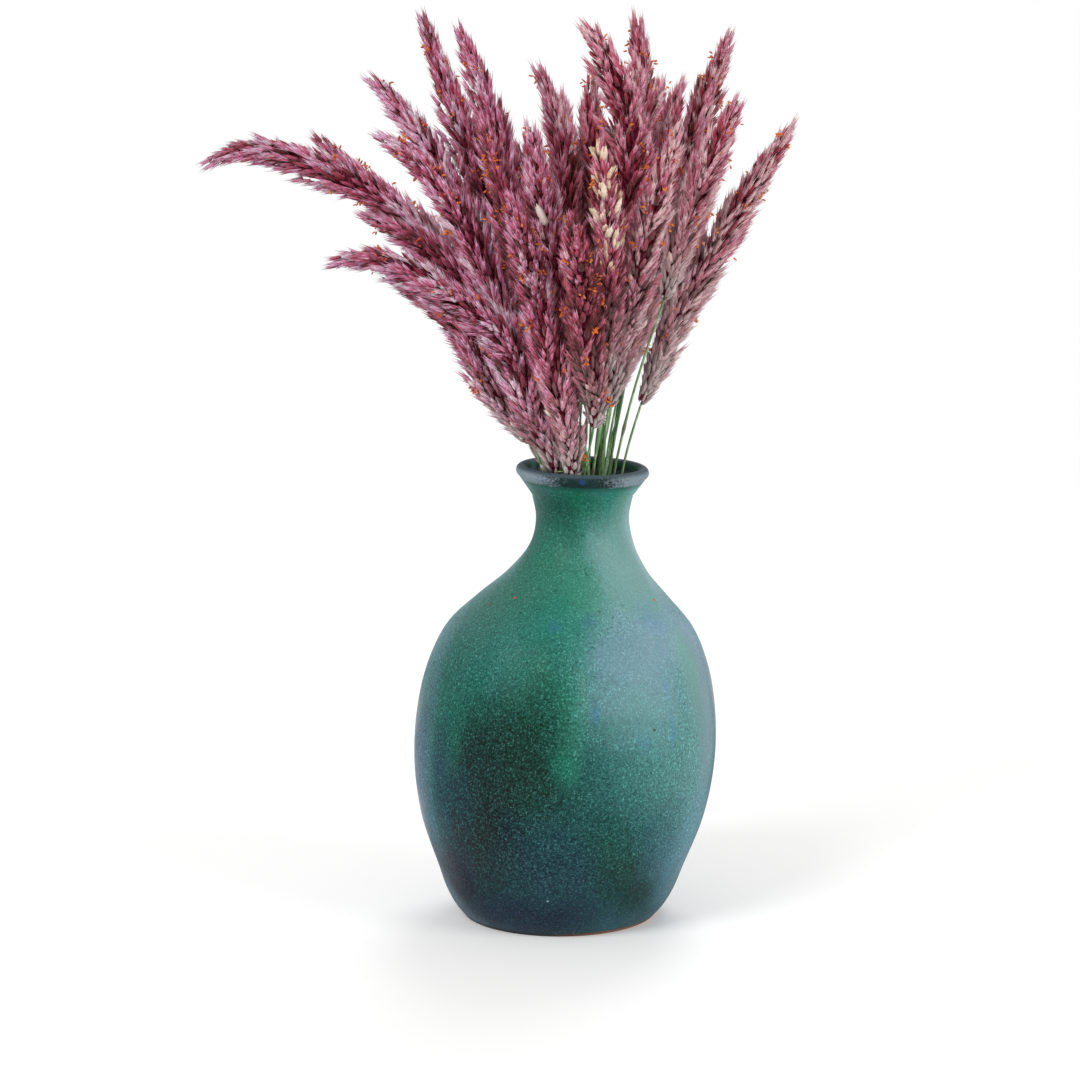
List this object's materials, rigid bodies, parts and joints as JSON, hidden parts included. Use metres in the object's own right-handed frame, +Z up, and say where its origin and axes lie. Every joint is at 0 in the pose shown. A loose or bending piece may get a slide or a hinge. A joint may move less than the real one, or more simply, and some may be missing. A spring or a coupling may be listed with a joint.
{
  "type": "dried savannah grass in vase",
  "caption": "Bunch of dried savannah grass, feathery mauve heads on thin green stalks, standing in a round glazed stoneware vase with a narrow neck and rolled lip.",
  "frame": {"origin": "middle of the vase's flat foot, on the surface that it stands on", "axes": "+Z up, +X to the right and +Y away from the viewer of the picture"},
  "size_m": [0.277, 0.201, 0.43],
  "materials": {
    "glaze": "satin speckled teal-green stoneware glaze",
    "stalk": "dry matte green grass stalk",
    "head": "dry silky mauve grass spikelets",
    "pale_head": "dry silky cream grass spikelets"
  },
  "bodies": {
    "root": {"vase": "glaze", "culm_01": "stalk", "plume_01": "head", "culm_02": "stalk", "plume_02": "head", "culm_03": "stalk", "plume_03": "head", "culm_04": "stalk", "plume_04": "head", "culm_05": "stalk", "plume_05": "head", "culm_06": "stalk", "plume_06": "head", "culm_07": "stalk", "plume_07": "head", "culm_08": "stalk", "plume_08": "head", "culm_09": "stalk", "plume_09": "head", "culm_10": "stalk", "plume_10": "head", "culm_11": "stalk", "plume_11": "head", "culm_12": "stalk", "plume_12": "head", "culm_13": "stalk", "plume_13": "head", "culm_14": "stalk", "plume_14": "head", "culm_15": "stalk", "plume_15": "head", "culm_16": "stalk", "plume_16": "head", "culm_17": "stalk", "plume_17": "head", "culm_18": "stalk", "plume_18": "head", "culm_19": "stalk", "plume_19": "head", "culm_20": "stalk", "plume_20": "head", "culm_21": "stalk", "plume_21": "head", "culm_22": "stalk", "plume_22": "head", "culm_23": "stalk", "plume_23": "head", "culm_24": "stalk", "plume_24": "head", "culm_25": "stalk", "plume_25": "pale_head", "culm_26": "stalk", "plume_26": "head", "culm_27": "stalk", "plume_27": "head", "culm_28": "stalk", "plume_28": "head", "culm_29": "stalk", "plume_29": "head"}
  },
  "joints": []
}
